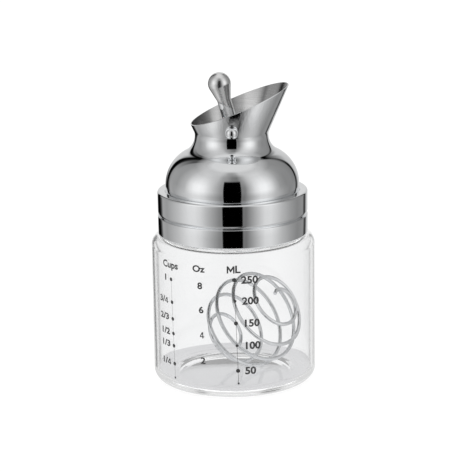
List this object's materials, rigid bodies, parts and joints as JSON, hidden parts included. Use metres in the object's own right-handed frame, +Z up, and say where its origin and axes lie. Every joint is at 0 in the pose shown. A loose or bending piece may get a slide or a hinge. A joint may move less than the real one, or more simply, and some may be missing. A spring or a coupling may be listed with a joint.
{
  "type": "salad dressing shaker bottle",
  "caption": "Glass shaker jar with a screw-on polished steel pouring lid, a thumb lever that opens a valve in the spout's throat, and a loose coiled wire mixing ball in the jar.",
  "frame": {"origin": "middle of the jar's base, on the surface it stands on", "axes": "+Z up along the jar's axis, +X towards the pouring lip, +Y away from the side with the scale; the lever's pin lies along Y"},
  "size_m": [0.08, 0.08, 0.1521],
  "materials": {
    "clear_glass": "clear, smooth, slightly rounded edges",
    "polished_steel": "mirror polished stainless steel",
    "satin_steel": "satin stainless steel",
    "silicone": "translucent white silicone",
    "white_plastic": "moulded white plastic"
  },
  "bodies": {
    "jar": {"glass_jar": "clear_glass"},
    "seal_ring": {"lid_gasket": "silicone"},
    "lid": {"thread_ring": "white_plastic", "lid_collar": "polished_steel", "pour_dome": "polished_steel", "pivot_pin": "polished_steel", "pin_cap": "polished_steel"},
    "lever": {"lever_stem": "polished_steel", "thumb_knob": "satin_steel", "valve_disc": "satin_steel", "valve_seal": "silicone", "clamp_plate": "satin_steel", "clamp_screw": "satin_steel"},
    "ball": {"mixing_ball": "polished_steel"}
  },
  "joints": [
    {"name": "lid_rise", "type": "slide", "parent": "jar", "child": "seal_ring", "axis": [0, 0, 1], "range_m": [0, 0.02001]},
    {"name": "lid_turn", "type": "hinge", "parent": "seal_ring", "child": "lid", "pos_m": [0, 0, 0.08], "axis": [0, 0, 1], "range_deg": [0, 1440]},
    {"name": "lever_tilt", "type": "hinge", "parent": "lid", "child": "lever", "pos_m": [0, 0, 0.12624], "axis": [0, -1, 0], "range_deg": [0, 50]},
    {"name": "ball_shake", "type": "slide", "parent": "jar", "child": "ball", "axis": [-0.1496, -0.0601, 0.9869], "range_m": [0, 0.054]}
  ],
  "couplings": [
    {"joint": "lid_rise", "follows": "lid_turn", "m_per_rad": 0.00079577}
  ]
}
